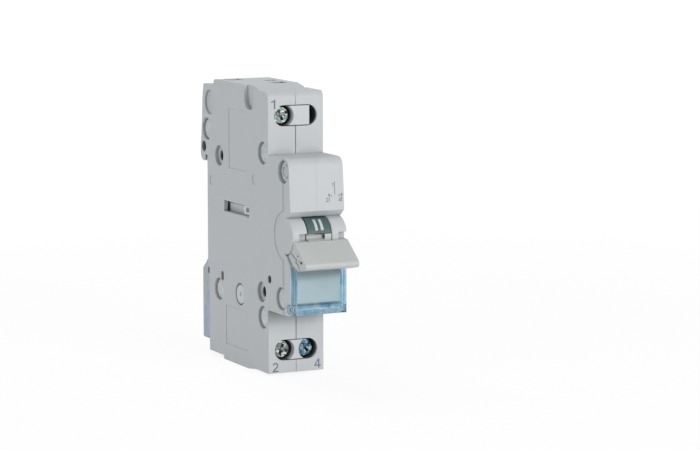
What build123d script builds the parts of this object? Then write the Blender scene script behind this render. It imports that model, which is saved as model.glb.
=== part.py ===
from build123d import *
import math
import os
from dataclasses import dataclass

# A modular changeover switch, one module wide, for a top-hat mounting rail. x runs to the
# right, the front faces -y and z is up. The origin is the middle of the seat that lies on
# the rail. All lengths are in millimetres and all angles in degrees.

# Case
half_width = 8.75
nose_setback = 0.25
nose_half_width = half_width - nose_setback
terminal_face_y = -44.0
terminal_roof_z = 40.5
top_pad_z = 41.5
top_pad_front_y = -30.5
rear_roof_z = 39.64
bottom_rear_z = -40.8
bottom_pad_z = -41.9
bottom_front_z = -41.2
nose_half_height = 22.5
nose_step_y = -53.9
nose_top_radius = 2.6
front_corner_radius = 1.9
side_wall = 1.3
front_wall = 1.8
seat_wall = 2.4
roof_wall = 1.6

# Seat and hook for the 35 mm rail
rail_half_height = 17.5
rail_sheet = 1.0
rail_play = 0.8
hook_slot = 1.5
hook_lip_z = 16.4
hook_rear_y = 5.06
seat_bottom_z = -15.6
lower_rear_y = -1.0

# Lever barrel in the nose
lever_axis_y = -55.0
lever_axis_z = 0.4
cheek_radius = 5.3
cheek_inner_x = 3.85
chamber_radius = 5.5
parting_circle_radius = 7.1
seal_notch_low_z = -0.7
seal_notch_high_z = 1.38
seal_notch_depth = 1.8

# Lever, drum and their travel from position II to position I
lever_swing = 60.0
lever_side_gap = 0.1
lever_half_width = nose_half_width - lever_side_gap
lever_inner_radius = 5.7
drum_radius = 5.2
drum_inner_radius = 4.45
drum_half_width = cheek_inner_x - 0.25
drum_slot = (81.0, 168.0)
hub_radius = 4.4
hub_half_width = drum_half_width - 0.2
hub_gap_half_width = 1.4
root_inner_radius = 2.6
axle_radius = 1.0
shaft_clearance = 0.05
crank_radius = 2.8
crank_angle = 60.0
crank_pin_radius = 0.5
trough_end_x = 1.6
trough_radius = 0.8
seam_width = 0.24
seam_depth = 0.5
lever_seam = [(-59.1, -4.05), (-60.7, -4.8), (-62.6, -5.5), (-62.05, -6.2), (-63.9, -7.1), (-64.3, -8.5)]

# Moving contact system
blade_pivot_z = 13.0
blade_half_width = 2.3
blade_thickness = 1.4
tip_arm = 25.0
tip_thickness = 0.7
tip_radius = 1.6
tip_dome_height = 0.35
closed_contact_gap = 0.05
slide_floor_z = 2.2
slide_sheet = 1.4
slide_side_top_z = 6.9
slide_outer_x = 7.1
slide_rear_y = -12.1
slide_front_y = -30.6
key_rear_y = -23.2
key_back = 1.3
arm_half_width = 1.1
arm_top_z = 2.9
arm_pad_top_z = 3.6
arm_web_half_width = 0.3
blade_slot_half = 1.05
leaf_front_y = -27.0
leaf_rear_y = -16.0
leaf_foot_z = -0.3
leaf_thickness = 0.3
running_gap = 0.3

# Terminals
column_x = 3.75
upper_terminal_z = 33.6
lower_terminal_z = -34.6
opening_half_width = 6.8
opening_half_height = 3.05
well_floor_y = -39.4
web_half_height = 2.8
web_half_width = 2.6
web_hollow_radius = 3.2
web_right_hollow_x = 4.0
well_back_y = -37.6
wire_gap = 5.2
wire_gap_rear_left = -5.8
wire_gap_rear_right = -21.8
cage_half_width = 3.0
cage_half_height = 3.2
cage_sheet = 0.8
cage_thread_wall = 2.2
strip_half_width = 2.0
bridge_low_z = 27.9
bridge_front_y = -24.9
ear_outer_x = 3.6
partition_rear_y = -16.0
strip_thickness = 1.2
screw_head_radius = 2.6
screw_head_length = 2.2
screw_tip_gap = 0.1
screw_shank_radius = 1.95
screw_hole_play = 0.2

# Side features of the case
rivet_shank_radius = 1.5
boss_radius = 2.6
recess_depth = 1.0
rivet_head_radius = 2.9
rivet_head_height = 0.4
rivet_head_chamfer = 0.2
flush_head_height = 0.9
slit_depth = 0.5

# Label holder on the nose
label_front_y = -60.3
label_seat_y = -58.2
label_top_z = -8.1
label_bottom_z = -21.9
label_rib = 1.3
label_panel_thickness = 0.7
label_hinge_y = -57.4
label_hinge_z = -20.6
label_ear_radius = 1.3
label_bar_radius = 1.15
nose_foot_y = -56.3

# Rail clip
clip_half_width = half_width - 0.5
clip_sheet = 0.9
clip_rear_y = 5.0
clip_front_y = -0.75
clip_travel = 4.5
clip_top_z = -13.2
clip_ramp_z = -16.5
clip_bottom_z = -37.6
clip_slot_z = -17.6
spring_foot_z = -31.5
spring_top_z = -18.5
clip_guide_top_z = spring_top_z - clip_travel - 0.4
spring_y = 2.2
clip_guide_bottom_z = -36.4


def side_face(points):
    """Flat face in the side plane with the given (y, z) corners."""
    return Plane.YZ * make_face(Polyline(*points, close=True))


def plate(face, x_low, x_high):
    """Solid between two x values with a face of the side plane as its section."""
    return extrude(Pos(x_low, 0, 0) * face, amount=x_high - x_low, dir=(1, 0, 0))


def block(x_range, y_range, z_range):
    """Box from the lowest and highest value along each axis."""
    spans = [high - low for low, high in (x_range, y_range, z_range)]
    middle = [(low + high) / 2 for low, high in (x_range, y_range, z_range)]
    return Pos(*middle) * Box(*spans)


def rod_x(y, z, radius, x_low, x_high):
    """Round bar along x."""
    upright = Cylinder(radius, x_high - x_low, align=(Align.CENTER, Align.CENTER, Align.MIN))
    return Pos(x_low, y, z) * Rot(0, 90, 0) * upright


def pillar_x(y, z, radius, x_low, x_high):
    """Eight-sided pillar along x, as wide across its flats as a round one."""
    section = Plane.YZ * (Pos(y, z) * RegularPolygon(radius, 8, major_radius=False))
    return plate(section, x_low, x_high)


def rod_y(x, z, radius, y_low, y_high):
    """Round bar along y."""
    upright = Cylinder(radius, y_high - y_low, align=(Align.CENTER, Align.CENTER, Align.MIN))
    return Pos(x, y_low, z) * Rot(-90, 0, 0) * upright


def barrel_point(radius, angle):
    """Point at a radius round the lever axis, by its angle above the forward direction."""
    turn = math.radians(angle)
    return (lever_axis_y - radius * math.cos(turn), lever_axis_z + radius * math.sin(turn))


def barrel_arc(radius, start, end):
    """Arc round the lever axis between two angles."""
    first, middle, last = (barrel_point(radius, angle) for angle in (start, (start + end) / 2, end))
    return ThreePointArc(first, middle, last)


def sector(inner, outer, start, end, x_low, x_high):
    """Part of a ring round the lever axis."""
    edges = [
        barrel_arc(outer, start, end),
        Line(barrel_point(outer, end), barrel_point(inner, end)),
        barrel_arc(inner, end, start),
        Line(barrel_point(inner, start), barrel_point(outer, start)),
    ]
    return plate(Plane.YZ * make_face(edges), x_low, x_high)


def bent_sheet(points, thickness):
    """Side face of a sheet whose middle line runs through the (y, z) points, with mitred bends."""
    left, right = [], []
    for index, (y, z) in enumerate(points):
        normals = []
        for a, b in ((index - 1, index), (index, index + 1)):
            if a >= 0 and b < len(points):
                dy, dz = points[b][0] - points[a][0], points[b][1] - points[a][1]
                length = math.hypot(dy, dz)
                normals.append((-dz / length, dy / length))
        ny = sum(n[0] for n in normals) / len(normals)
        nz = sum(n[1] for n in normals) / len(normals)
        reach = thickness / 2 / (ny * ny + nz * nz)
        left.append((y + ny * reach, z + nz * reach))
        right.append((y - ny * reach, z - nz * reach))
    return side_face(left + right[::-1])


def both_sides(solid):
    """The solid and its mirror image across the middle of the case."""
    return solid + mirror(solid, about=Plane.YZ)


@dataclass(frozen=True)
class Terminal:
    """One screw terminal: its number, column (-1 left, 1 right), height and clamping place."""

    number: str
    column: int
    z: float
    gap_rear_y: float
    slot_angle: float

    @property
    def x(self):
        return self.column * column_x

    @property
    def strip_rear_y(self):
        return self.gap_rear_y - wire_gap

    @property
    def strip_front_y(self):
        return self.strip_rear_y - strip_thickness

    @property
    def strip_middle_y(self):
        return (self.strip_rear_y + self.strip_front_y) / 2


terminal_1 = Terminal("1", -1, upper_terminal_z, wire_gap_rear_left, 25.0)
terminal_2 = Terminal("2", -1, lower_terminal_z, wire_gap_rear_left, -20.0)
terminal_4 = Terminal("4", 1, lower_terminal_z, wire_gap_rear_right, 40.0)
terminals = (terminal_1, terminal_2, terminal_4)

# The blade tilts so far that its tip meets the strip of terminal 4 in position II.
half_slide_travel = crank_radius * math.sin(math.radians(lever_swing / 2))
drive_z = slide_floor_z + slide_sheet / 2
blade_tilt = math.degrees(math.atan(half_slide_travel / (blade_pivot_z - drive_z)))
dome_radius = (tip_radius ** 2 + tip_dome_height ** 2) / (2 * tip_dome_height)
dome_centre = dome_radius - blade_thickness / 2 - tip_thickness
tip_reach = tip_arm * math.sin(math.radians(blade_tilt)) + dome_radius
tip_reach -= dome_centre * math.cos(math.radians(blade_tilt))
fixed_face_4_y = terminal_4.strip_rear_y + tip_thickness
blade_pivot_y = fixed_face_4_y + closed_contact_gap + tip_reach
fixed_face_2_y = blade_pivot_y + tip_reach + closed_contact_gap
strip_2_front_y = fixed_face_2_y + tip_thickness
tip_z = blade_pivot_z - tip_arm * math.cos(math.radians(blade_tilt))
blade_at_slide_y = blade_pivot_y - half_slide_travel

# Places on the side of the case, as (y, z)
rivet_places = ((0.15, 26.2), (-40.3, 22.75), (-54.15, 18.7), (-8.3, -21.2), (-52.7, -17.9), (-40.1, -25.15))
flush_rivet_place = (-23.8, -20.65)
coupling_places = ((-8.9, 19.0), (-39.3, -17.8))
rivet_recess_radius = 3.35
coupling_recess_radius = 3.05
coupling_hole_radius = 1.5
hook_hole_place = (2.6, 20.75)
hook_hole_radius = 1.65
window_y = (-30.5, -12.3)
window_z = (2.8, 6.06)
side_notch_y = (-34.5, -27.3)
side_notch_bottom_z = 34.4
side_notch_depth = 1.3


def case_outline():
    """Side outline of the case without the lever cheeks."""
    roof_radius_point = (terminal_face_y + front_corner_radius, terminal_roof_z)
    face_radius_point = (terminal_face_y, terminal_roof_z - front_corner_radius)
    diagonal = front_corner_radius * (1 - math.sqrt(0.5))
    roof_corner = (terminal_face_y + diagonal, terminal_roof_z - diagonal)
    nose_roof = (-57.5 + nose_top_radius, nose_half_height)
    nose_front = (-57.5, nose_half_height - nose_top_radius)
    nose_diagonal = nose_top_radius * (1 - math.sqrt(0.5))
    nose_corner = (-57.5 + nose_diagonal, nose_half_height - nose_diagonal)
    edges = [
        Polyline((0, rail_half_height + rail_play), (hook_slot, rail_half_height + rail_play),
                 (hook_slot, hook_lip_z + 0.5), (2.4, hook_lip_z)),
        ThreePointArc((2.4, hook_lip_z), (4.3, 17.1), (hook_rear_y, 19.2)),
        Polyline((hook_rear_y, 19.2), (4.8, 22.4), (4.0, 28.2), (3.5, 35.5), (2.7, rear_roof_z),
                 (-4.8, rear_roof_z), (-5.0, top_pad_z - 0.9)),
        ThreePointArc((-5.0, top_pad_z - 0.9), (-5.3, top_pad_z - 0.28), (-6.0, top_pad_z)),
        Polyline((-6.0, top_pad_z), (top_pad_front_y, top_pad_z), (-33.4, 41.05), (-34.8, terminal_roof_z),
                 roof_radius_point),
        ThreePointArc(roof_radius_point, roof_corner, face_radius_point),
        Polyline(face_radius_point, (terminal_face_y, nose_half_height), nose_roof),
        ThreePointArc(nose_roof, nose_corner, nose_front),
        ThreePointArc(nose_front, (-58.1, 13.9), (-58.45, 7.55)),
        Polyline((-58.45, 7.55), (-56.3, 5.85), (-54.0, 4.5), (-54.0, -4.5), (-56.2, -5.4), (-56.6, -6.0),
                 (label_seat_y, -7.5), (label_seat_y, -18.9), (nose_foot_y, -19.1),
                 (nose_foot_y, -nose_half_height), (terminal_face_y, -nose_half_height),
                 (terminal_face_y, bottom_front_z),
                 (-34.9, bottom_front_z), (-29.8, bottom_pad_z), (-11.8, bottom_pad_z),
                 (-11.4, bottom_rear_z), (lower_rear_y, bottom_rear_z), (lower_rear_y, seat_bottom_z), (0, seat_bottom_z),
                 (0, rail_half_height + rail_play)),
    ]
    return Plane.YZ * make_face(edges)


def case_cavity():
    """Hollow of one half of the case, from the parting plane to the side wall."""
    span = (-1.0, half_width - side_wall)
    rear = -seat_wall
    front = terminal_face_y + front_wall
    room = block(span, (front, rear), (bottom_rear_z + roof_wall, rear_roof_z - roof_wall))
    room += block(span, (-49.0, front + 1), (1.6 - nose_half_height, nose_half_height - 1.6))
    room += block(span, (-56.2, -48.0), (8.2, nose_half_height - 1.8))
    room += block(span, (-56.6, -48.0), (-17.4, -8.4))
    return room


def terminal_block(z):
    """Solid round the screw wells of one end, beside the partition."""
    inner_x = 0.5
    reach = half_width - side_wall + 0.2
    return block((inner_x, reach), (terminal_face_y + front_wall - 0.2, well_back_y), (z - 4.3, z + 4.3))


def terminal_cuts(z, screw_fitted):
    """Opening in the front wall, screw well and shank hole of one end of one half."""
    front = terminal_face_y - 1
    flat = opening_half_width - opening_half_height
    cut = block((-1.0, flat), (front, terminal_face_y + front_wall + 0.3),
                (z - opening_half_height, z + opening_half_height))
    cut += rod_y(column_x, z, opening_half_height, front, well_floor_y)
    hole = screw_shank_radius + screw_hole_play if screw_fitted else 2.6
    return cut + rod_y(column_x, z, hole, well_floor_y - 1, well_back_y + 1)


def wire_entry(gap_rear_y, z_low, z_high):
    """Square way for the wire through the roof or floor of the case."""
    return block((1.35, 6.55), (gap_rear_y - wire_gap, gap_rear_y), (z_low, z_high))


def cheek():
    """Round cheek beside the lever drum, with softened rims."""
    disc = rod_x(lever_axis_y, lever_axis_z, cheek_radius, cheek_inner_x, nose_half_width)
    return chamfer(disc.edges().filter_by(GeomType.CIRCLE), 0.25)


def side_cuts():
    """Recesses, holes, window and notch of the side of one half."""
    face = half_width + 1
    floor = half_width - recess_depth
    cut = Part()
    for y, z in rivet_places + (flush_rivet_place,):
        depth = floor - (nose_setback if y < nose_step_y else 0)
        cut += rod_x(y, z, rivet_recess_radius, depth, face)
        cut += rod_x(y, z, rivet_shank_radius + 0.1, -1, face)
    for y, z in coupling_places:
        cut += rod_x(y, z, coupling_recess_radius, floor, face)
        cut += rod_x(y, z, coupling_hole_radius, -1, face)
    cut += rod_x(*hook_hole_place, hook_hole_radius, -1, face)
    cut += rod_x(-44.8, -13.4, 1.2, floor, face)
    cut += block((floor - 0.8, face), (-11.8, -9.8), (-17.35, -16.45))
    for z in (-17.35, -16.45):
        cut += rod_x(-10.8, z, 1.0, floor - 0.8, face)
    cut += block((half_width - side_wall - 1, face), window_y, window_z)
    notch_radius = (side_notch_y[1] - side_notch_y[0]) / 2
    notch_middle = sum(side_notch_y) / 2
    notch_top = side_notch_bottom_z + notch_radius
    cut += block((half_width - side_notch_depth, face), side_notch_y, (notch_top, top_pad_z + 1))
    cut += rod_x(notch_middle, notch_top, notch_radius, half_width - side_notch_depth, face)
    cut += rod_x(-1.95, 34.4, 3.7, half_width - 0.6, face)
    for y, z in ((-34.4, 14.5), (-3.2, 11.0)):
        cut += rod_x(y, z, 1.5, half_width - 0.12, face)
    cut += block((half_width - 0.1, face), (-28.5, -16.1), (16.1, 33.7))
    cut += block((half_width - 0.1, face), (-29.0, -13.5), (-36.9, -25.2))
    return cut


def bosses():
    """Round pillars inside one half that carry the rivets and coupling holes, and the pivot seats."""
    reach = half_width - side_wall + 0.2
    pillars = Part()
    for y, z in rivet_places + coupling_places + (flush_rivet_place,):
        pillars += pillar_x(y, z, boss_radius, 0, reach)
        pillars += pillar_x(y, z, rivet_recess_radius + 0.7, half_width - recess_depth - 1.1, reach)
    pillars += rod_x(blade_pivot_y, blade_pivot_z, 2.2, 4.2, reach)
    pad_z = (side_notch_bottom_z - 1.0, rear_roof_z - roof_wall + 0.2)
    pad_y = (side_notch_y[0] - 1, side_notch_y[1] + 1)
    pillars += block((half_width - side_notch_depth - 0.6, reach), pad_y, pad_z)
    rib_x = (slide_outer_x - slide_sheet - 0.7, reach)
    low = slide_floor_z - running_gap
    pillars += block(rib_x, (-33.0, -27.5), (low - 1.0, low))
    pillars += block(rib_x, (-15.5, -9.5), (low - 1.0, low))
    high = slide_side_top_z + running_gap
    pillars += block(rib_x, (-33.0, -9.5), (high, high + 1.0))
    return pillars & plate(case_outline(), 0, reach)


def strip_holder(y_span, z_span, slot_y, slot_z):
    """Rib on the side wall with a slot for the edge of a current strip."""
    rib = block((5.0, half_width - side_wall + 0.2), y_span, z_span)
    return rib - block((4.0, column_x + strip_half_width + shaft_clearance), slot_y, slot_z)


def clip_guide():
    """Half of the T-shaped rail at the lower rear on which the clip slides."""
    head_x = clip_half_width - clip_sheet - running_gap
    tall = (clip_guide_bottom_z, clip_guide_top_z)
    stem = block((0, head_x - 1.15), (lower_rear_y - 0.5, 0.6), tall)
    guide = stem + block((0, head_x), (0.45, clip_rear_y - clip_sheet - running_gap), tall)
    return guide - block((-1, 1.75), (spring_y - 1.75, 9), (spring_foot_z, 0))


def label_hinge_boss():
    """Half of the round bar under the nose that the label holder's pins turn in."""
    end_x = nose_half_width - label_rib - 0.1
    bar = rod_x(label_hinge_y, label_hinge_z, label_bar_radius, 0, end_x)
    bar += block((0, end_x), (label_hinge_y, nose_foot_y + 1), (label_hinge_z - 0.7, label_hinge_z + 0.8))
    return bar - rod_x(label_hinge_y, label_hinge_z, 0.6, end_x - 1.3, nose_half_width)


def parting_slits():
    """Fine open lines where the halves meet on the terminal faces, wider beside the nose."""
    cut = Part()
    for z, nose_side, roof in ((upper_terminal_z, nose_half_height, terminal_roof_z),
                               (lower_terminal_z, -nose_half_height, bottom_front_z)):
        for half, limit in ((0.12, nose_side), (0.05, roof)):
            cut += block((-1, half), (terminal_face_y - 1, terminal_face_y + slit_depth), sorted((z, limit)))
    return cut


def half_shell(column):
    """One half of the case, built on the right and mirrored for the left (column -1)."""
    shell = plate(case_outline(), 0, half_width)
    narrow = side_face([(-62, -24), (nose_step_y, -24), (nose_step_y, 24), (-62, 24)])
    step = plate(narrow, nose_half_width, half_width + 1)
    step += rod_x(lever_axis_y, lever_axis_z, parting_circle_radius, nose_half_width, half_width + 1)
    shell -= step
    shell -= case_cavity()
    shell += cheek()
    shell += bosses()
    for z in (upper_terminal_z, lower_terminal_z):
        shell += terminal_block(z)
    shell += clip_guide()
    shell += label_hinge_boss()
    shell -= side_cuts()
    shell -= terminal_cuts(upper_terminal_z, column < 0)
    shell -= terminal_cuts(lower_terminal_z, True)
    shell -= parting_slits()
    shell -= rod_x(lever_axis_y, lever_axis_z, chamber_radius, -1, cheek_inner_x)
    shell -= rod_x(lever_axis_y, lever_axis_z, axle_radius + 0.02, -1, 6.6)
    shell -= rod_x(blade_pivot_y, blade_pivot_z, axle_radius + 0.02, 4, 5.6)
    shell -= block((-1, 1.7), (-51.5, -48.5), (1.6, 4.4))
    shell -= rod_x(label_hinge_y, label_hinge_z, label_ear_radius + running_gap,
                   nose_half_width - label_rib - 0.1, half_width + 1)
    if column < 0:
        notch_x = (3.7, 6.4)
        shell -= wire_entry(wire_gap_rear_left, 30.0, 43.0)
        shell -= wire_entry(wire_gap_rear_left, -43.0, -31.0)
        shell += left_strip_holders()
    else:
        notch_x = (5.9, 9.0)
        shell -= block((1.2, 5.8), (-26.8, -22.0), (top_pad_z - 1.5, 43.0))
        shell -= block((2.7, 6.2), (-18.0, -15.5), (top_pad_z - 1.2, 43.0))
        shell -= wire_entry(wire_gap_rear_right, -43.0, -31.0)
        shell += right_strip_holders()
        shell += leaf_seat()
    notch_front_y = lever_axis_y - cheek_radius - 1
    notch_y = (notch_front_y, notch_front_y + 1 + seal_notch_depth)
    shell -= block(notch_x, notch_y, (seal_notch_low_z, seal_notch_high_z))
    return shell if column > 0 else mirror(shell, about=Plane.YZ)


def left_strip_holders():
    """Ribs for the strips of terminals 1 and 2, drawn on the right before mirroring."""
    slack = shaft_clearance
    ribs = Part()
    contact_y = (strip_2_front_y - slack, strip_2_front_y + strip_thickness + slack)
    for low in (-27.0, -15.0):
        rib_y = (contact_y[0] - 1, contact_y[1] + 1)
        ribs += strip_holder(rib_y, (low, low + 3), contact_y, (low - 1, low + 4))
    bridge_z = (bridge_low_z - slack, bridge_low_z + strip_thickness + slack)
    ribs += strip_holder((-19.0, -14.5), (bridge_z[0] - 1, bridge_z[1] + 1), (-20.0, -13.5), bridge_z)
    return ribs


def right_strip_holders():
    """Ribs for the strip of terminal 4."""
    slot = (terminal_4.strip_front_y - shaft_clearance, terminal_4.strip_rear_y + shaft_clearance)
    ribs = Part()
    for low in (-26.5, -14.0):
        ribs += strip_holder((slot[0] - 1, slot[1] + 1), (low, low + 3), slot, (low - 1, low + 4))
    return ribs


def leaf_seat():
    """Shelf on the right wall below the slide that carries the detent leaf."""
    shelf_x = (slide_outer_x - slide_sheet, half_width - side_wall + 0.2)
    shelf = block(shelf_x, (leaf_front_y - 1.0, leaf_rear_y + 1.0), (leaf_foot_z - 0.8, leaf_foot_z))
    stop_z = (leaf_foot_z - 0.8, leaf_foot_z + 0.9)
    shelf += block(shelf_x, (leaf_front_y - 1.0, leaf_front_y - 0.1), stop_z)
    return shelf + block(shelf_x, (leaf_rear_y + 0.1, leaf_rear_y + 1.0), stop_z)


def rivets():
    """The seven rivets that close the case."""
    group = []
    for y, z in rivet_places + (flush_rivet_place,):
        floor = (nose_half_width if y < nose_step_y else half_width) - recess_depth
        rivet = rod_x(y, z, rivet_shank_radius, -floor - 0.05, floor + 0.05)
        height = flush_head_height if (y, z) == flush_rivet_place else rivet_head_height
        head = rod_x(y, z, rivet_head_radius, floor, floor + height)
        head = chamfer(head.edges().filter_by(GeomType.CIRCLE).sort_by(Axis.X)[-1], rivet_head_chamfer)
        group.append(rivet + both_sides(head))
    return Compound(children=group)


def partition(z, right_edge):
    """Wall between the two terminal places of one end, with the web that closes the opening."""
    web_front = terminal_face_y + 0.1
    web_rear = terminal_face_y + front_wall + 0.2
    web = block((-web_half_width, right_edge), (web_front, web_rear), (z - web_half_height, z + web_half_height))
    web -= rod_y(-column_x, z, web_hollow_radius, web_front - 1, web_rear + 1)
    wall = block((-0.4, 0.4), (web_rear - 0.15, partition_rear_y), (z - 4.2, z + 4.2))
    return web, wall


def top_partition():
    """Upper partition: its web ends straight on the right, where the blank place stays open."""
    web, wall = partition(upper_terminal_z, 4.4)
    return web + wall


def bottom_partition():
    """Lower partition: its web is hollowed on both sides, for two screws."""
    web, wall = partition(lower_terminal_z, web_half_width)
    web -= rod_y(web_right_hollow_x, lower_terminal_z, web_hollow_radius, terminal_face_y - 1, terminal_face_y + 3)
    return web + wall


def terminal_screw(terminal):
    """Clamp screw with a combined slot and cross, set at its own angle."""
    head_rear = well_floor_y - 0.1
    head_front = head_rear - screw_head_length
    head = rod_y(0, 0, screw_head_radius, head_front, head_rear)
    head = chamfer(head.edges().filter_by(GeomType.CIRCLE).sort_by(Axis.Y)[0], 0.25)
    screw = head + rod_y(0, 0, screw_shank_radius, head_rear, terminal.strip_front_y - screw_tip_gap)
    slot = block((-2.3, 2.3), (head_front - 1, head_front + 1.1), (-0.45, 0.45))
    slot += block((-0.45, 0.45), (head_front - 1, head_front + 1.5), (-1.6, 1.6))
    screw -= Rot(0, -terminal.slot_angle, 0) * slot
    return Pos(terminal.x, 0, terminal.z) * screw


def clamp_cage(terminal):
    """Folded clamp round the strip and the wire gap, with a threaded front wall, fully open."""
    rear = terminal.gap_rear_y + cage_sheet
    thread_rear = terminal.strip_front_y - running_gap
    front = thread_rear - cage_thread_wall
    inner = cage_half_width - cage_sheet
    tall = (-cage_half_height, cage_half_height)
    loop = block((-cage_half_width, cage_half_width), (front, rear), tall)
    loop -= block((-inner, inner), (thread_rear, terminal.gap_rear_y), (-9, 9))
    loop = fillet(loop.edges().filter_by(Axis.Z).group_by(Axis.Y)[-1], 0.6)
    loop -= rod_y(0, 0, screw_shank_radius + shaft_clearance, front - 1, thread_rear + 1)
    return Pos(terminal.x, 0, terminal.z) * loop


def common_strip():
    """Strip of terminal 1: clamped end, bridge and the two ears that hold the blade."""
    y = terminal_1.strip_middle_y
    middle_z = bridge_low_z + strip_thickness / 2
    fold = bent_sheet([(y, 37.4), (y, middle_z), (bridge_front_y, middle_z)], strip_thickness)
    strip = plate(fold, -column_x - strip_half_width, -column_x + strip_half_width)
    ear_front = blade_pivot_y - 3.2
    ear_rear = blade_pivot_y + 3.2
    strip += block((-column_x - strip_half_width, ear_outer_x), (bridge_front_y, ear_rear),
                   (bridge_low_z, bridge_low_z + strip_thickness))
    ear_z = blade_pivot_z
    ear = block((ear_outer_x - 1.0, ear_outer_x), (ear_front, ear_rear), (ear_z, bridge_low_z + 0.2))
    ear += rod_x(blade_pivot_y, ear_z, 3.2, ear_outer_x - 1.0, ear_outer_x)
    strip += both_sides(ear)
    return strip - rod_x(blade_pivot_y, ear_z, axle_radius + shaft_clearance, -9, 9)


def contact_strip_2():
    """Strip of terminal 2: clamped end, a step forward and the upright that carries its tip."""
    y = terminal_2.strip_middle_y
    contact_y = strip_2_front_y + strip_thickness / 2
    foot = bent_sheet([(y, -38.2), (y, -29.4), (contact_y, -29.4), (contact_y, -27.9)], strip_thickness)
    strip = plate(foot, -column_x - strip_half_width, -column_x + strip_half_width)
    upright_y = (strip_2_front_y, strip_2_front_y + strip_thickness)
    return strip + block((-column_x - strip_half_width, 2.4), upright_y, (-28.1, -8.5))


def contact_strip_4():
    """Strip of terminal 4: a flat T-shaped blank."""
    span_y = (terminal_4.strip_front_y, terminal_4.strip_rear_y)
    strip = block((column_x - strip_half_width, column_x + strip_half_width), span_y, (-38.2, -27.9))
    return strip + block((-2.4, column_x + strip_half_width), span_y, (-28.1, -8.5))


def contact_blade():
    """Moving blade with its bearing hole, turned to position II."""
    low = -tip_arm - 2.0
    body = side_face([(-blade_thickness / 2, low), (blade_thickness / 2, low),
                      (blade_thickness / 2, 2.4), (-blade_thickness / 2, 2.4)])
    blade = plate(body, -blade_half_width, blade_half_width)
    blade += rod_x(0, 0, axle_radius + 0.9, -blade_half_width, blade_half_width)
    blade -= rod_x(0, 0, axle_radius + shaft_clearance, -9, 9)
    return Pos(0, blade_pivot_y, blade_pivot_z) * Rot(-blade_tilt, 0, 0) * blade


def moving_tips():
    """The two domed contact tips of the blade."""
    dome = Pos(0, blade_thickness / 2 + tip_thickness - dome_radius, -tip_arm) * Sphere(dome_radius)
    base = rod_y(0, -tip_arm, tip_radius, blade_thickness / 2, blade_thickness / 2 + tip_thickness + 1)
    rear = base & dome
    front = mirror(rear, about=Plane.XZ)
    place = Pos(0, blade_pivot_y, blade_pivot_z) * Rot(-blade_tilt, 0, 0)
    return Compound(children=[place * rear, place * front])


def fixed_tip(rear_y, front_y):
    """Flat silver tip on a current strip."""
    return rod_y(0, tip_z, tip_radius, front_y, rear_y)


def contact_slide():
    """Slide that turns the blade: two side plates, cross bars and the arm to the lever crank."""
    inner_x = slide_outer_x - slide_sheet
    side = block((inner_x, slide_outer_x), (slide_front_y, slide_rear_y), (slide_floor_z, slide_side_top_z))
    slide = both_sides(side)
    floor = (slide_floor_z, slide_floor_z + slide_sheet)
    for rear in (slide_rear_y, blade_at_slide_y - 3.0):
        slide += block((-inner_x - 0.1, inner_x + 0.1), (rear - 2.0, rear), floor)
    slide += block((-3.5, 3.5), (blade_at_slide_y - 4.0, slide_rear_y - 1.0), floor)
    pocket_z = (window_z[0] + 0.15, window_z[1] - 0.1)
    slide -= both_sides(block((inner_x, 9), (slide_front_y - 1, key_rear_y), pocket_z))
    slide -= block((-blade_half_width - 0.4, blade_half_width + 0.4),
                   (blade_at_slide_y - blade_slot_half, blade_at_slide_y + blade_slot_half), (0, 5))
    pin_y, pin_z = barrel_point(crank_radius, crank_angle)
    arm_x = (-arm_half_width, arm_half_width)
    slide += block(arm_x, (pin_y - arm_half_width, pin_y + arm_half_width), (floor[0], arm_pad_top_z))
    slide += block(arm_x, (pin_y + crank_pin_radius, blade_at_slide_y - 3.5), (floor[0], arm_top_z))
    for side_x in ((arm_web_half_width, 3.0), (-3.0, -arm_web_half_width)):
        slide -= block(side_x, (pin_y - crank_pin_radius - 0.1, pin_y + crank_pin_radius + 0.1), (0, 5))
    notch_y = (leaf_front_y + leaf_rear_y) / 2
    for step in range(3):
        slide -= rod_x(notch_y - step * half_slide_travel, slide_floor_z - 0.45, 0.75, inner_x - 0.1, 9)
    return slide


def coupler_key():
    """The two white keys, C-shaped and open to the front, in the front pockets of the slide."""
    low = window_z[0] + 0.2
    high = window_z[1] - 0.15
    profile = side_face([(key_rear_y - 0.05, low), (key_rear_y - 0.05, high), (slide_front_y + 0.1, high),
                         (slide_front_y + 0.1, high - 0.75), (key_rear_y - key_back, high - 0.75),
                         (key_rear_y - key_back, low + 0.75), (slide_front_y + 0.1, low + 0.75),
                         (slide_front_y + 0.1, low)])
    key = plate(profile, slide_outer_x - slide_sheet, slide_outer_x)
    return Compound(children=[key, mirror(key, about=Plane.YZ)])


def detent_leaf():
    """Bent spring leaf whose crest lies in the middle of the slide's three notches."""
    middle = (leaf_front_y + leaf_rear_y) / 2
    foot = leaf_foot_z + leaf_thickness / 2
    crest = slide_floor_z - 0.1 - leaf_thickness / 2
    path = [(leaf_front_y, foot), (leaf_front_y + 1.6, foot), (middle - 0.45, crest), (middle + 0.45, crest),
            (leaf_rear_y - 1.6, foot), (leaf_rear_y, foot)]
    return plate(bent_sheet(path, leaf_thickness), slide_outer_x - slide_sheet + 0.1, slide_outer_x + 0.1)


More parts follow.
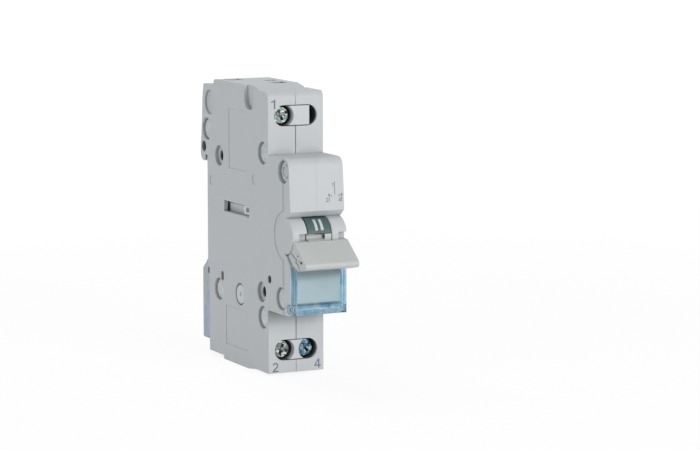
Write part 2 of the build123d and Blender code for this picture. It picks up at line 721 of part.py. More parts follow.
def lever_faces():
    """Side faces of the whole lever and of its body, which lies below the seam line."""
    top = (-60.95, -0.75)
    lip_front = (-68.0, -5.85)
    lip_rear = (-67.7, -7.85)
    under = [(-63.3, -8.75), (-59.6, -7.2)]
    low_angle = -69.0
    high_angle = -12.0
    seam_angle = math.degrees(math.atan2(lever_seam[0][1] - lever_axis_z, lever_axis_y - lever_seam[0][0]))
    whole = [
        Polyline(barrel_point(lever_inner_radius, high_angle), top, lip_front),
        ThreePointArc(lip_front, (-68.5, -7.0), lip_rear),
        Polyline(lip_rear, *under, barrel_point(lever_inner_radius, low_angle)),
        barrel_arc(lever_inner_radius, low_angle, high_angle),
    ]
    below = [
        Polyline(barrel_point(lever_inner_radius, seam_angle), *lever_seam, (-64.3, -9.5), (-59.6, -9.5),
                 barrel_point(lever_inner_radius, low_angle)),
        barrel_arc(lever_inner_radius, low_angle, seam_angle),
    ]
    return Plane.YZ * make_face(whole), Plane.YZ * make_face(below)


def lever_pieces():
    """Lever body with its hub and crank, and the cap on its front."""
    whole_face, below_face = lever_faces()
    whole = plate(whole_face, -lever_half_width, lever_half_width)
    below = plate(below_face, -lever_half_width - 1, lever_half_width + 1)
    body = whole & below
    cap = whole - below
    body += sector(root_inner_radius, drum_radius, -64.0, 8.0, -drum_half_width, drum_half_width)
    neck = (drum_radius - 0.3, lever_inner_radius + 0.2)
    body += sector(*neck, -64.0, -50.0, -drum_half_width, drum_half_width)
    disc = rod_x(lever_axis_y, lever_axis_z, hub_radius, hub_gap_half_width, hub_half_width)
    pin_y, pin_z = barrel_point(crank_radius, crank_angle)
    stub = rod_x(pin_y, pin_z, crank_pin_radius, arm_web_half_width + 0.15, hub_gap_half_width + 0.2)
    body += both_sides(disc + stub)
    body -= rod_x(lever_axis_y, lever_axis_z, axle_radius + shaft_clearance, -9, 9)
    trough_z = lever_axis_z - 0.05
    body -= block((-9, trough_end_x), (-62.0, -59.5), (trough_z - trough_radius, trough_z + trough_radius))
    body -= rod_x(-59.5, trough_z, trough_radius, -9, trough_end_x)
    body -= rod_x(-59.3, trough_z, trough_radius - 0.15, trough_end_x - 0.1, drum_half_width - 0.3)
    side = (lever_half_width - seam_depth, lever_half_width + 1)
    seam = both_sides(plate(bent_sheet(lever_seam, seam_width), *side))
    holes = both_sides(rod_x(-63.45, -4.3, 0.35, side[0] - 0.5, side[1]))
    holes += both_sides(block((side[0] - 0.5, side[1]), (-66.35, -65.15), (-6.2, -5.65)))
    return body - seam, cap - seam - holes


def position_drum():
    """Thin drum round the hub that carries the position marks."""
    shell = sector(drum_inner_radius, drum_radius, 10.0, 360.0 - 66.5, -drum_half_width, drum_half_width)
    slot_half = arm_half_width + 0.4
    return shell - sector(drum_inner_radius - 0.2, drum_radius + 0.2, *drum_slot, -slot_half, slot_half)


def label_holder():
    """Clear cover with a recessed window, rails on all sides and two hinged ears."""
    rear = label_seat_y - 0.5
    cover = block((-nose_half_width, nose_half_width), (label_front_y, rear), (label_bottom_z, label_top_z))
    upright = cover.edges().filter_by(Axis.Z).group_by(Axis.Y)[0]
    cover = fillet(upright, 0.45)
    inner = nose_half_width - label_rib
    panel_front = rear - label_panel_thickness
    window = (label_bottom_z + 1.6, label_top_z - 0.9)
    cover -= block((-inner, inner), (label_front_y - 1, panel_front), window)
    ear = rod_x(label_hinge_y, label_hinge_z, label_ear_radius, inner, nose_half_width)
    ear += block((inner, nose_half_width), (label_front_y + 0.6, label_hinge_y),
                 (label_hinge_z - label_ear_radius, label_hinge_z + label_ear_radius))
    ear += rod_x(label_hinge_y, label_hinge_z, 0.6 - shaft_clearance, inner - 1.1, inner + 0.2)
    return cover + both_sides(ear)


def label_card():
    """Card behind the window of the label holder."""
    return block((-7.0, 7.0), (label_seat_y - 0.5, label_seat_y - 0.15), (-18.6, label_top_z - 0.5))


def rail_clip():
    """Folded catch for the rail: side cheeks, back, ramp, floor, lips and the spring ledge."""
    front_y = clip_front_y
    hook_y = rail_sheet + 0.1
    profile = side_face([(hook_y, clip_top_z), (clip_rear_y, clip_ramp_z), (clip_rear_y, clip_bottom_z + 0.5),
                         (clip_rear_y - 0.5, clip_bottom_z), (front_y, clip_bottom_z), (front_y, clip_slot_z),
                         (hook_y, clip_slot_z)])
    inner_x = clip_half_width - clip_sheet
    clip = both_sides(plate(profile, inner_x, clip_half_width))
    back_y = (clip_rear_y - clip_sheet, clip_rear_y)
    clip += block((-inner_x, inner_x), back_y, (clip_bottom_z + 0.5, clip_ramp_z))
    ramp = side_face([(hook_y, clip_top_z), (clip_rear_y, clip_ramp_z),
                      (clip_rear_y, clip_ramp_z - 1.1), (hook_y, clip_top_z - 1.1)])
    clip += plate(ramp, -inner_x, inner_x)
    floor_z = (clip_bottom_z, clip_bottom_z + clip_sheet - 0.2)
    clip += block((-inner_x, inner_x), (front_y, clip_rear_y - 0.5), floor_z)
    clip -= block((-3.0, 3.0), (1.2, 2.6), (clip_bottom_z - 1, clip_bottom_z + 1))
    lip_x = (inner_x - 1.1, inner_x + 0.1)
    clip += both_sides(block(lip_x, (front_y, 0.15), (-34.0, -24.0)))
    clip += block((-3.0, 3.0), (hook_y, clip_rear_y - 0.5), (spring_top_z, spring_top_z + clip_sheet))
    return clip


def clip_spring():
    """Coil spring that pushes the clip up against the rail."""
    wire = 0.25
    coil = 1.35
    height = spring_top_z - spring_foot_z - 2 * wire
    path = Helix(pitch=height / 5, height=height, radius=coil)
    start = path @ 0
    section = Plane(origin=start, z_dir=path % 0) * RegularPolygon(wire, 6)
    spring = sweep(section, path)
    return Pos(0, spring_y, spring_foot_z + wire) * spring


def build_parts():
    """Every separate piece of the switch, by node name."""
    lever_body, lever_cap = lever_pieces()
    pieces = {
        "left_shell": half_shell(-1),
        "right_shell": half_shell(1),
        "rivets": rivets(),
        "top_partition": top_partition(),
        "bottom_partition": bottom_partition(),
        "common_strip": common_strip(),
        "contact_strip_2": contact_strip_2(),
        "contact_strip_4": contact_strip_4(),
        "fixed_tip_2": fixed_tip(strip_2_front_y, fixed_face_2_y),
        "fixed_tip_4": fixed_tip(fixed_face_4_y, terminal_4.strip_rear_y),
        "contact_blade": contact_blade(),
        "moving_tips": moving_tips(),
        "blade_pin": rod_x(blade_pivot_y, blade_pivot_z, axle_radius, -5.5, 5.5),
        "contact_slide": contact_slide(),
        "coupler_key": coupler_key(),
        "lever_body": lever_body,
        "lever_cap": lever_cap,
        "position_drum": position_drum(),
        "lever_pin": rod_x(lever_axis_y, lever_axis_z, axle_radius, -6.5, 6.5),
        "detent_leaf": detent_leaf(),
        "label_holder": label_holder(),
        "label_card": label_card(),
        "rail_clip": rail_clip(),
        "clip_spring": clip_spring(),
    }
    for terminal in terminals:
        pieces["terminal_screw_" + terminal.number] = terminal_screw(terminal)
        pieces["clamp_cage_" + terminal.number] = clamp_cage(terminal)
    return pieces


os.makedirs("parts", exist_ok=True)
for name, piece in build_parts().items():
    export_step(piece, "parts/" + name + ".step")
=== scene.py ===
"""Looks of the changeover switch: finishes, printed marks, floor, light and camera."""
import logging
import math
from collections.abc import Sequence
from dataclasses import dataclass, field
from enum import Enum
from typing import Union

import bmesh
import bpy
from mathutils import Matrix, Vector


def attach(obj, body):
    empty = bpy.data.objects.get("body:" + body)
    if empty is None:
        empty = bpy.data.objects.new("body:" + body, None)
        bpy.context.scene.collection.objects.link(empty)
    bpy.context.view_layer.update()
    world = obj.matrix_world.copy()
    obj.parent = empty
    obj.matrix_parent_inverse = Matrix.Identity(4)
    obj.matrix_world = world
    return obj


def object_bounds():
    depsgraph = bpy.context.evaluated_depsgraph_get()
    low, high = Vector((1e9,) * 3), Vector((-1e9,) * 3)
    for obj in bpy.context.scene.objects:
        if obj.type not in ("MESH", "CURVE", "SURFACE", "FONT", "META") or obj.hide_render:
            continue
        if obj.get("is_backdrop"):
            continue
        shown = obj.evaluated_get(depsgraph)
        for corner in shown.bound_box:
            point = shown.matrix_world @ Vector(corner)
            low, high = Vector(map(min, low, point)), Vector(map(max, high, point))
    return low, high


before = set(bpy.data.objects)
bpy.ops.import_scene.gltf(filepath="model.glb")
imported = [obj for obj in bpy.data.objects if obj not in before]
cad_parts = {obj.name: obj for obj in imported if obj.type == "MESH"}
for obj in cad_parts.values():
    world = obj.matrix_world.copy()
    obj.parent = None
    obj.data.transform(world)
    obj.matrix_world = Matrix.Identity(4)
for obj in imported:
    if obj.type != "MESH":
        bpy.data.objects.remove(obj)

MM = 0.001
LOG = logging.getLogger("changeover_switch")
Colour = tuple[float, float, float]
Point = tuple[float, float, float]
Flat = tuple[float, float]
Outline = list[Flat]
Bar = tuple[float, float, float, float]
Ring = list[bmesh.types.BMVert]

# The curve that turns screen values into linear ones
SCREEN_FULL = 255
SCREEN_KNEE = 0.04045
SCREEN_SLOPE = 12.92
SCREEN_OFFSET = 0.055
SCREEN_POWER = 2.4

# Sockets of the Mix node when it mixes colours
MIX_SHARE, MIX_FIRST, MIX_SECOND, MIX_RESULT = 0, 6, 7, 2

GAP_SAMPLES = 8
GAP_EDGES: Flat = (0.22, 0.6)
EDGE_SAMPLES = 6
LINE_SOFTNESS = 0.7
COARSE_DETAIL = 3.0
FINE_DETAIL = 2.0
PLAIN_DETAIL = 1.0


def srgb(red: float, green: float, blue: float) -> Colour:
    """Makes a linear colour from a screen colour.

    Args:
        red: red from 0 to 255.
        green: green from 0 to 255.
        blue: blue from 0 to 255.

    Returns:
        The linear colour.
    """
    linear = []
    for level in (red, green, blue):
        share = level / SCREEN_FULL
        if share <= SCREEN_KNEE:
            linear.append(share / SCREEN_SLOPE)
        else:
            linear.append(((share + SCREEN_OFFSET) / (1 + SCREEN_OFFSET)) ** SCREEN_POWER)
    return tuple(linear)


def scaled(colour: Colour, factor: float) -> Colour:
    """Colour made darker or lighter by a factor."""
    return tuple(min(1.0, share * factor) for share in colour)


class Space(Enum):
    """What a pattern's coordinates follow."""

    OBJECT = "Object"
    GENERATED = "Generated"


class Axis(Enum):
    """Axis of the shared frame."""

    X = "X"
    Y = "Y"
    Z = "Z"


class Ray(Enum):
    """Kind of ray that a surface or the world is seen by."""

    CAMERA = "Is Camera Ray"
    DIFFUSE = "Is Diffuse Ray"
    GLOSSY = "Is Glossy Ray"
    SHADOW = "Is Shadow Ray"
    TRANSMISSION = "Is Transmission Ray"


class Number:
    """A value socket whose operators add Math nodes to its graph."""

    def __init__(self, graph: "Graph", socket: bpy.types.NodeSocket) -> None:
        """Wraps a socket.

        Args:
            graph: the graph that holds the socket's node.
            socket: an output socket that carries a value.
        """
        self.graph = graph
        self.socket = socket

    def _with(self, operation: str, first: "Term", second: "Term", clamp: bool = False) -> "Number":
        """Adds a Math node.

        Args:
            operation: Blender's name of the operation.
            first: the term on the left.
            second: the term on the right.
            clamp: whether the result is kept between zero and one.

        Returns:
            The node's result.
        """
        settings = {"operation": operation, "use_clamp": clamp}
        node = self.graph.add("ShaderNodeMath", settings, {0: first, 1: second})
        return Number(self.graph, node.outputs[0])

    def __add__(self, other: "Term") -> "Number":
        """Sum."""
        return self._with("ADD", self, other)

    __radd__ = __add__

    def __sub__(self, other: "Term") -> "Number":
        """Difference."""
        return self._with("SUBTRACT", self, other)

    def __rsub__(self, other: "Term") -> "Number":
        """Difference from a term on the left."""
        return self._with("SUBTRACT", other, self)

    def __mul__(self, other: "Term") -> "Number":
        """Product."""
        return self._with("MULTIPLY", self, other)

    __rmul__ = __mul__

    def __pow__(self, other: "Term") -> "Number":
        """Power."""
        return self._with("POWER", self, other)

    def __rpow__(self, other: "Term") -> "Number":
        """Power of a term on the left."""
        return self._with("POWER", other, self)

    def ramp(self, low: float, high: float) -> "Number":
        """Zero at the low value, one at the high value and straight between them."""
        return self._with("MULTIPLY", self - low, 1.0 / (high - low), clamp=True)

    def within(self, half: float, blur: float) -> "Number":
        """One between minus half and half, with soft ends, and zero outside."""
        return (half ** 2 - self * self).ramp(0.0, blur ** 2)

    def beyond(self, low: float, high: float) -> "Number":
        """Zero nearer to the middle than the low value and one further out than the high value."""
        return (self * self).ramp(low ** 2, high ** 2)

    def lifted(self, floor: float) -> "Number":
        """Share from zero to one moved into the range from a floor to one."""
        return self * (1.0 - floor) + floor

    def as_loss(self, loss: float) -> "Number":
        """One where this share is zero, and less by the loss where it is one."""
        return 1.0 - self * loss


Term = Union[Number, bpy.types.NodeSocket, float]
Tint = Union[bpy.types.NodeSocket, Colour]


class Graph:
    """Node tree of a material or world, built through one method for every kind of node."""

    def __init__(self, owner: bpy.types.Material | bpy.types.World) -> None:
        """Empties the owner's node tree and takes it over.

        Args:
            owner: the material or world.
        """
        self.owner = owner
        owner.use_nodes = True
        self.tree = owner.node_tree
        self.tree.nodes.clear()

    @classmethod
    def material(cls, name: str) -> "Graph":
        """Graph of a new material."""
        return cls(bpy.data.materials.new(name))

    def add(self, kind: str, settings: dict[str, object] | None = None,
            sockets: dict[str | int, object] | None = None) -> bpy.types.Node:
        """Adds a node.

        Args:
            kind: Blender's name of the node type.
            settings: attributes that are set first.
            sockets: a value, a Number or an output socket for each input.

        Returns:
            The new node.
        """
        node = self.tree.nodes.new(kind)
        for key, value in (settings or {}).items():
            setattr(node, key, value)
        for key, value in (sockets or {}).items():
            target = node.inputs[key]
            if isinstance(value, Number):
                value = value.socket
            if isinstance(value, bpy.types.NodeSocket):
                self.tree.links.new(value, target)
            elif isinstance(value, tuple) and target.type == "RGBA":
                target.default_value = (*value, 1.0)
            else:
                target.default_value = value
        return node

    def coordinates(self, space: Space = Space.OBJECT, stretch: Point = (1, 1, 1)) -> bpy.types.NodeSocket:
        """Makes pattern coordinates.

        Args:
            space: what the coordinates follow.
            stretch: factor along each axis.

        Returns:
            The stretched coordinates.
        """
        source = self.add("ShaderNodeTexCoord")
        terms = {0: source.outputs[space.value], 1: stretch}
        return self.add("ShaderNodeVectorMath", {"operation": "MULTIPLY"}, terms).outputs[0]

    def place(self, axis: Axis) -> Number:
        """Position along one axis in metres."""
        parts = self.add("ShaderNodeSeparateXYZ", {}, {0: self.coordinates()})
        return Number(self, parts.outputs[axis.value])

    def noise(self, cells: float, detail: float = FINE_DETAIL, stretch: Point = (1, 1, 1),
              space: Space = Space.OBJECT) -> Number:
        """Makes a noise pattern.

        Args:
            cells: how many cells lie on one unit of length.
            detail: number of finer layers.
            stretch: factor of the coordinates along each axis.
            space: what the coordinates follow.

        Returns:
            The noise, from zero to one.
        """
        where = self.coordinates(space, stretch)
        node = self.add("ShaderNodeTexNoise", {"noise_dimensions": "3D"},
                        {"Vector": where, "Scale": cells, "Detail": detail})
        return Number(self, node.outputs[0])

    def openness(self, reach: float) -> Number:
        """Tells open surfaces from holes and gaps.

        Args:
            reach: how far the piece's own walls shade a gap, in metres.

        Returns:
            One on open surfaces and zero deep in a gap.
        """
        settings = {"samples": GAP_SAMPLES, "only_local": True}
        node = self.add("ShaderNodeAmbientOcclusion", settings, {"Distance": reach})
        return Number(self, node.outputs["AO"]).ramp(*GAP_EDGES)

    def seen_by(self, ray: Ray) -> Number:
        """One for rays of that kind."""
        return Number(self, self.add("ShaderNodeLightPath").outputs[ray.value])

    def blend(self, share: Term, first: Tint, second: Tint) -> bpy.types.NodeSocket:
        """Mixes two colours by a share."""
        sockets = {MIX_SHARE: share, MIX_FIRST: first, MIX_SECOND: second}
        return self.add("ShaderNodeMix", {"data_type": "RGBA"}, sockets).outputs[MIX_RESULT]

    def mix(self, share: Term, first: bpy.types.Node, second: bpy.types.Node) -> bpy.types.Node:
        """Mixes two shaders by a share."""
        return self.add("ShaderNodeMixShader", {}, {0: share, 1: first.outputs[0], 2: second.outputs[0]})

    def near_spot(self, off_y: Number, off_z: Number, reach: float, softness: float) -> Number:
        """Makes a round spot in the side plane.

        Args:
            off_y: distance from the spot's middle along y.
            off_z: distance from it along z.
            reach: the spot's radius.
            softness: share of the spot over which it fades.

        Returns:
            One in the spot and zero outside.
        """
        return (reach ** 2 - off_y * off_y - off_z * off_z).ramp(0.0, softness * reach ** 2)

    def near_line(self, start: Flat, end: Flat, reach: float) -> Number:
        """Makes a straight line in the side plane.

        Args:
            start: its first end, as y and z in metres.
            end: its other end.
            reach: half its width.

        Returns:
            One on the line and zero off it.
        """
        run = (end[0] - start[0], end[1] - start[1])
        off_y, off_z = self.place(Axis.Y) - start[0], self.place(Axis.Z) - start[1]
        along = (off_y * run[0] + off_z * run[1]).ramp(0.0, run[0] ** 2 + run[1] ** 2)
        return self.near_spot(off_y - along * run[0], off_z - along * run[1], reach, LINE_SOFTNESS)

    def relief(self, height: Number, depth: float, rounding: float) -> bpy.types.NodeSocket:
        """Makes the normal of a rough surface whose edges look rounded.

        Args:
            height: the roughness pattern.
            depth: its height in metres.
            rounding: radius of the edges in metres.

        Returns:
            The normal socket of a Bump node.
        """
        edge = self.add("ShaderNodeBevel", {"samples": EDGE_SAMPLES}, {"Radius": rounding})
        bump = self.add("ShaderNodeBump", {}, {"Strength": 1.0, "Distance": depth, "Height": height,
                                                "Normal": edge.outputs[0]})
        return bump.outputs[0]

    def finish(self, shader: bpy.types.Node, output: str = "ShaderNodeOutputMaterial") -> bpy.types.ID:
        """Joins a shader to the output and returns the owner."""
        self.add(output, {}, {"Surface": shader.outputs[0]})
        return self.owner


@dataclass(frozen=True)
class Finish:
    """A finish of some pieces, with the name of its material."""

    name: str

    def build(self) -> bpy.types.Material:
        """Makes the material."""
        raise NotImplementedError(self.name)


@dataclass(frozen=True)
class MouldedPlastic(Finish):
    """Opaque moulded plastic with a spark-eroded grain, faint flow marks and painted shade in its gaps."""

    colour: Colour
    roughness: float = 0.5
    rough_spread: float = 0.08
    grain_depth: float = 0.004 * MM
    grain_cells: float = 5200.0
    flow_cells: float = 55.0
    flow_part: float = 0.75
    rounding: float = 0.22 * MM
    shade: float = 0.04
    gap_shade: float = 0.06
    gap_reach: float = 5.0 * MM
    specular: float = 0.42

    def lit_share(self, graph: Graph) -> Number:
        """One where the surface is open to the light, and less in gaps, where shade is painted."""
        return graph.openness(self.gap_reach)

    def build(self) -> bpy.types.Material:
        """Makes the material.

        Returns:
            The material.
        """
        graph = Graph.material(self.name)
        flow = graph.noise(self.flow_cells, COARSE_DETAIL)
        grain = graph.noise(self.grain_cells)
        skin = graph.blend(flow * self.flow_part + grain * (1.0 - self.flow_part),
                           scaled(self.colour, 1.0 - self.shade), scaled(self.colour, 1.0 + self.shade))
        shader = graph.add("ShaderNodeBsdfPrincipled", {}, {
            # painted shade: the base colour falls towards gap_shade where lit_share is low
            "Base Color": graph.blend(self.lit_share(graph), scaled(self.colour, self.gap_shade), skin),
            "Roughness": (flow + grain) * self.rough_spread + (self.roughness - self.rough_spread),
            "Normal": graph.relief(grain, self.grain_depth, self.rounding),
            "Specular IOR Level": self.specular,
        })
        return graph.finish(shader)


@dataclass(frozen=True)
class CasePlastic(MouldedPlastic):
    """Plastic of the case, with painted shade inside its walls, less painted shade in the nose's shallow gaps
    and a painted shadow below the nose.
    """

    inner_half_width: float = 7.3 * MM
    inner_half_height: float = 38.0 * MM
    inner_front: float = -43.7 * MM
    inner_rear: float = -1.9 * MM
    # painted shade inside the case's walls
    inner_painted_shade: float = 0.93
    wall_blur: float = 0.5 * MM
    fine_blur: float = 0.1 * MM
    parting_half_width: float = 0.4 * MM
    parting_start: Flat = (22.3 * MM, 22.6 * MM)
    parting_depth: Flat = (-0.5 * MM, -0.4 * MM)
    # painted light on the parting line
    parting_painted_light: float = 0.55
    nose_start: float = -46.5 * MM
    nose_blur: float = 1.0 * MM
    # share of the painted gap shade that is taken off on the nose
    nose_painted_shade_cut: float = 0.75
    barrel_half_height: float = 8.5 * MM
    recess_band: Flat = (7.35 * MM, 8.47 * MM)
    face_depth: float = -43.6 * MM
    face_blur: float = 0.2 * MM
    nose_foot: float = -22.6 * MM
    foot_fall: Flat = (-4.8 * MM, -1.2 * MM)
    # darkness of the painted shadow below the nose
    foot_painted_shadow: float = 0.42

    def inside(self, across: Number, depth: Number, height: Number) -> Number:
        """Finds the closed room of the case, where shade is painted.

        Args:
            across: position along x.
            depth: position along y.
            height: position along z.

        Returns:
            One inside the walls and zero outside.
        """
        room = depth.ramp(self.inner_front, self.inner_front + 2 * self.wall_blur)
        room = room * (self.inner_rear - depth).ramp(0.0, self.wall_blur)
        room = room * across.within(self.inner_half_width, self.wall_blur)
        return room * height.within(self.inner_half_height, self.wall_blur)

    def upper_parting(self, across: Number, depth: Number, height: Number) -> Number:
        """Finds the tight line where the halves meet on the upper terminal face, which is painted lighter
        against the painted shade of its gap.

        Args:
            across: position along x.
            depth: position along y.
            height: position along z.

        Returns:
            One on the line and zero elsewhere.
        """
        line = across.within(self.parting_half_width, self.fine_blur) * height.ramp(*self.parting_start)
        return line * (self.inner_front - depth).ramp(*self.parting_depth)

    def nose_with_less_painted_shade(self, across: Number, depth: Number, height: Number) -> Number:
        """Finds the nose, apart from its rivet recesses, where gaps are shallow and get less painted shade.

        Args:
            across: position along x.
            depth: position along y.
            height: position along z.

        Returns:
            One where the painted shade of gaps is cut and zero elsewhere.
        """
        low, high = self.recess_band
        band = across.beyond(low, low + self.fine_blur) * across.within(high, self.fine_blur)
        barrel = height.within(self.barrel_half_height, self.nose_blur)
        return (self.nose_start - depth).ramp(0.0, self.nose_blur) * (1.0 - band * (1.0 - barrel))

    def painted_shadow_below_nose(self, depth: Number, height: Number) -> Number:
        """Finds the painted shadow on the lower terminal face right below the nose.

        Args:
            depth: position along y.
            height: position along z.

        Returns:
            One below the nose, falling to zero further down.
        """
        face = (self.face_depth - depth).ramp(0.0, self.face_blur)
        face = face * (self.nose_foot - height).ramp(0.0, self.fine_blur)
        return face * height.ramp(*(self.nose_foot + fall for fall in self.foot_fall))

    def lit_share(self, graph: Graph) -> Number:
        """Weighs the painted light and shade of the case.

        Args:
            graph: the material's graph.

        Returns:
            One where the surface is open to the light and near zero inside the walls, where shade is painted.
        """
        across, depth, height = (graph.place(axis) for axis in Axis)
        lit = graph.openness(self.gap_reach)
        # less painted shade in the nose's shallow gaps
        lit = lit + (1.0 - lit) * self.nose_with_less_painted_shade(across, depth, height) * self.nose_painted_shade_cut
        # painted shadow below the nose
        lit = lit * self.painted_shadow_below_nose(depth, height).as_loss(self.foot_painted_shadow)
        # painted shade inside the walls
        lit = lit * self.inside(across, depth, height).as_loss(self.inner_painted_shade)
        # painted light on the upper parting line
        return lit + self.upper_parting(across, depth, height) * self.parting_painted_light


@dataclass(frozen=True)
class LeverPlastic(MouldedPlastic):
    """Plastic of the lever, with painted shade along its joints on its sides; the joints are given as (y, z)
    places in millimetres.
    """

    side_x: Flat = (8.3 * MM, 8.35 * MM)
    reach: float = 0.3 * MM
    # painted shade along the joints
    joint_painted_shade: float = 0.72
    joints: tuple[tuple[Flat, ...], ...] = (
        ((-59.1, -4.05), (-60.7, -4.8), (-62.6, -5.5), (-62.05, -6.2), (-63.9, -7.1), (-64.3, -8.3)),
        ((-64.2, -5.5), (-65.7, -6.3)),
    )

    def lit_share(self, graph: Graph) -> Number:
        """Weighs the painted light and shade of the lever.

        Args:
            graph: the material's graph.

        Returns:
            One where the surface is open to the light and less along the joints, where shade is painted.
        """
        lines = []
        for joint in self.joints:
            places = [(y * MM, z * MM) for y, z in joint]
            lines += [graph.near_line(start, end, self.reach) for start, end in zip(places, places[1:])]
        # painted shade along the joints on the lever's sides
        dark = graph.place(Axis.X).beyond(*self.side_x) * sum(lines[1:], lines[0])
        return graph.openness(self.gap_reach) * dark.ramp(0.0, 1.0).as_loss(self.joint_painted_shade)


@dataclass(frozen=True)
class LabelCard(MouldedPlastic):
    """Label card with the lever's shadow painted on its upper end."""

    shade_edges: Flat = (-12.4 * MM, -10.4 * MM)
    painted_shadow_loss: float = 0.62

    def lit_share(self, graph: Graph) -> Number:
        """One on the card and less under the lever, where its shadow is painted."""
        # painted shadow of the lever on the card's upper end
        return graph.place(Axis.Z).ramp(*self.shade_edges).as_loss(self.painted_shadow_loss)


@dataclass(frozen=True)
class SlidePlastic(MouldedPlastic):
    """Plastic of the slide, with painted half shadow near all four edges of its window."""

    low_edge: Flat = (2.6 * MM, 4.8 * MM)
    low_light: float = 0.55
    high_end: float = 5.65 * MM
    high_blur: float = 0.45 * MM
    high_light: float = 0.15
    rear_end: float = -13.2 * MM
    rear_blur: float = 0.3 * MM
    front_end: float = -26.6 * MM
    front_blur: float = 0.6 * MM
    end_light: float = 0.07

    def lit_share(self, graph: Graph) -> Number:
        """Weighs the painted light and shade of the slide.

        Args:
            graph: the material's graph.

        Returns:
            One where the surface is open to the light and less near the window's edges, where half shadow is
            painted.
        """
        height, depth = graph.place(Axis.Z), graph.place(Axis.Y)
        # painted half shadow below, above and at both ends of the window
        below = height.ramp(*self.low_edge).lifted(self.low_light)
        above = (self.high_end - height).ramp(0.0, self.high_blur).lifted(self.high_light)
        ends = (self.rear_end - depth).ramp(0.0, self.rear_blur)
        ends = ends * (depth - self.front_end).ramp(0.0, self.front_blur)
        return graph.openness(self.gap_reach) * below * above * ends.lifted(self.end_light)


@dataclass(frozen=True)
class PlatedMetal(Finish):
    """Plated or bare metal with drawn lines, patches of its plating's tints and painted shade in its gaps."""

    colour: Colour
    tint: Colour
    roughness: float = 0.3
    patch_cells: float = 420.0
    patch_edges: Flat = (0.3, 0.7)
    patch_spread: float = 0.1
    line_cells: float = 1500.0
    line_spread: float = 0.14
    line_depth: float = 0.003 * MM
    line_stretch: Point = (1.0, 1.0, 6.0)
    rounding: float = 0.12 * MM
    metal: float = 1.0
    gap_shade: float = 0.12
    gap_reach: float = 2.5 * MM

    def tinted(self, graph: Graph, patch: Number) -> bpy.types.NodeSocket:
        """Colour with the plating's patches."""
        return graph.blend(patch.ramp(*self.patch_edges), self.colour, self.tint)

    def build(self) -> bpy.types.Material:
        """Makes the material.

        Returns:
            The material.
        """
        graph = Graph.material(self.name)
        patch = graph.noise(self.patch_cells, COARSE_DETAIL)
        lines = graph.noise(self.line_cells, FINE_DETAIL, self.line_stretch)
        rough = lines * self.line_spread + patch * self.patch_spread + (self.roughness - self.patch_spread)
        shader = graph.add("ShaderNodeBsdfPrincipled", {}, {
            # painted shade: the base colour falls towards gap_shade in the metal's gaps
            "Base Color": graph.blend(graph.openness(self.gap_reach), scaled(self.colour, self.gap_shade),
                                      self.tinted(graph, patch)),
            "Metallic": self.metal,
            "Roughness": rough,
            "Normal": graph.relief(lines, self.line_depth, self.rounding),
        })
        return graph.finish(shader)


@dataclass(frozen=True)
class ChromatedScrew(PlatedMetal):
    """Bright screw head whose patches are partly the plating's tints and partly painted highlights, with
    small dark glints that are painted reflections.
    """

    # painted reflections: colour of the dark glints
    dark: Colour = srgb(52, 70, 66)
    glint_cells: float = 1300.0
    glint_edges: Flat = (0.57, 0.67)

    def tinted(self, graph: Graph, patch: Number) -> bpy.types.NodeSocket:
        """Colour with the plating's patches, painted highlights among them, and the painted dark glints."""
        # painted dark glints
        glint = graph.noise(self.glint_cells, PLAIN_DETAIL).ramp(*self.glint_edges)
        return graph.blend(glint, super().tinted(graph, patch), self.dark)


@dataclass(frozen=True)
class RivetMetal(PlatedMetal):
    """Rivet metal with a dimple painted as a dark spot of shade in the head that lies level with the case."""

    dimple: Flat = (-23.8 * MM, -20.65 * MM)
    dimple_radius: float = 0.75 * MM
    dimple_softness: float = 0.4
    dimple_share: float = 0.6
    dimple_painted_shade: float = 0.3

    def tinted(self, graph: Graph, patch: Number) -> bpy.types.NodeSocket:
        """Colours the metal.

        Args:
            graph: the material's graph.
            patch: the pattern of the plating's patches.

        Returns:
            The colour with the patches and the dimple's painted shade.
        """
        off_y, off_z = graph.place(Axis.Y) - self.dimple[0], graph.place(Axis.Z) - self.dimple[1]
        # painted shade of the dimple
        spot = graph.near_spot(off_y, off_z, self.dimple_radius, self.dimple_softness) * self.dimple_share
        return graph.blend(spot, super().tinted(graph, patch), scaled(self.colour, self.dimple_painted_shade))


@dataclass(frozen=True)
class ClipSheet(PlatedMetal):
    """Blue-grey zinc sheet with a yellowish chromate band on its upper half."""

    band: Colour = (0.5, 0.48, 0.33)
    band_height: Flat = (-28.0 * MM, -21.0 * MM)
    band_depth: Flat = (2.2 * MM, 3.6 * MM)
    band_share: float = 0.7
    fade_cells: float = 90.0
    fade_reach: float = 9.0 * MM

    def tinted(self, graph: Graph, patch: Number) -> bpy.types.NodeSocket:
        """Colours the sheet.

        Args:
            graph: the material's graph.
            patch: the pattern of the plating's patches.

        Returns:
            The colour with the band, which fades out unevenly downwards and forwards.
        """
        uneven = (graph.noise(self.fade_cells) - 0.5) * self.fade_reach
        height = (graph.place(Axis.Z) + uneven).ramp(*self.band_height)
        depth = graph.place(Axis.Y).ramp(*self.band_depth)
        return graph.blend(height * depth * self.band_share, super().tinted(graph, patch), self.band)


